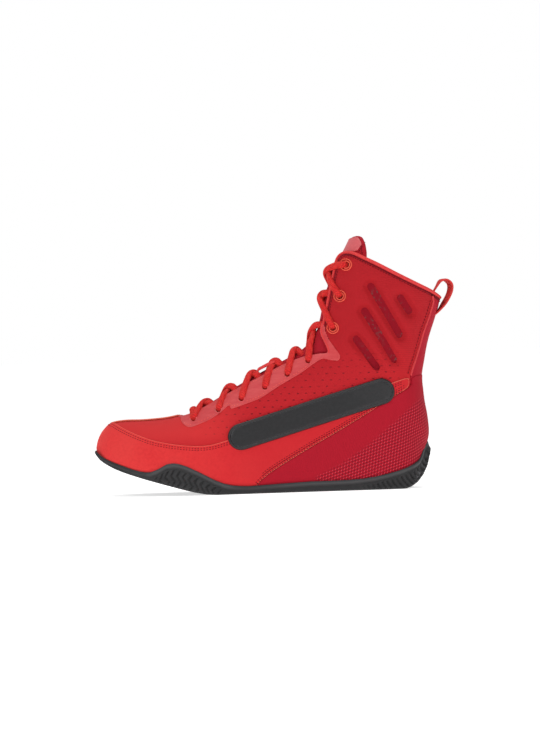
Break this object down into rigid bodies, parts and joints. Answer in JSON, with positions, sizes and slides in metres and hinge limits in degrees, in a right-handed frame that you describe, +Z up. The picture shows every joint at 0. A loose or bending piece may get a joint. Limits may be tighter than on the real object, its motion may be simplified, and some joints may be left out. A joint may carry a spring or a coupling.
{
  "type": "boxing boot",
  "caption": "Mid-height lace-up boxing boot in red mesh and suede with a black side bar, padded slotted ankle and thin rubber sole; left foot.",
  "frame": {"origin": "on the floor, in the flat of the outsole under the foot's long axis, level with the front of the arch", "axes": "+X towards the toe, +Y to the wearer's left (the outer side of this left boot), +Z up"},
  "size_m": [0.3079, 0.0952, 0.2142],
  "materials": {
    "rubber_black": "moulded outsole, satin",
    "foam_grey": "EVA foam midsole, matt",
    "board_fibre": "non-woven fibre lasting board",
    "insole_fabric": "fabric-topped foam insole",
    "mesh_red": "ribbed knit mesh with small perforations",
    "stiffener": "thermoplastic sheet",
    "lining_red": "brushed textile lining",
    "suede_red": "suede, raw light edge",
    "panel_black": "smooth satin synthetic leather",
    "film_coral": "thin welded film with fine grain",
    "heel_fabric": "close woven fabric with printed dots",
    "foam_pad": "open-cell ankle padding foam",
    "binding_coral": "folded edge binding",
    "slot_film": "mottled heat-embossed fabric",
    "tongue_fabric": "padded ribbed textile",
    "label_pink": "soft glossy film patch, plain",
    "lace_red": "round braided cord",
    "webbing_red": "ribbed webbing"
  },
  "bodies": {
    "foot": {"outsole": "rubber_black", "midsole": "foam_grey", "lasting_board": "board_fibre", "insole": "insole_fabric", "mesh_upper": "mesh_red", "toe_puff": "stiffener", "heel_counter": "stiffener", "foot_lining": "lining_red", "toe_guard": "suede_red", "heel_wrap": "heel_fabric", "side_panel_outer": "panel_black", "side_panel_inner": "panel_black", "eyestay_outer": "film_coral", "eyestay_inner": "film_coral", "tongue_lower": "tongue_fabric", "lace_lower": "lace_red"},
    "shaft": {"shaft_outer": "mesh_red", "shaft_inner": "mesh_red", "back_panel": "heel_fabric", "ankle_pad_outer": "foam_pad", "ankle_pad_inner": "foam_pad", "collar_lining": "lining_red", "collar_binding": "binding_coral", "slot_inserts": "slot_film", "back_piping": "binding_coral", "eyelet_rings": "binding_coral", "tongue_upper": "tongue_fabric", "lace_upper": "lace_red", "loop_anchor": "webbing_red"},
    "tongue_tip_body": {"tongue_tip": "tongue_fabric", "tongue_label": "label_pink"},
    "loop_body": {"pull_loop": "webbing_red"}
  },
  "joints": [
    {"name": "ankle_flex", "type": "hinge", "parent": "foot", "child": "shaft", "pos_m": [-0.0641, 0, 0.1002], "axis": [0, 1, 0], "range_deg": [-14, 14], "stiffness_Nm_per_rad": 1.5},
    {"name": "tongue_tip_fold", "type": "hinge", "parent": "shaft", "child": "tongue_tip_body", "pos_m": [-0.0436, 0, 0.2026], "axis": [0, 1, 0], "range_deg": [-8, 45], "stiffness_Nm_per_rad": 0.02},
    {"name": "pull_loop_swing", "type": "hinge", "parent": "shaft", "child": "loop_body", "pos_m": [-0.1183, 0, 0.16], "axis": [0, 1, 0], "range_deg": [-20, 8], "stiffness_Nm_per_rad": 0.02}
  ]
}
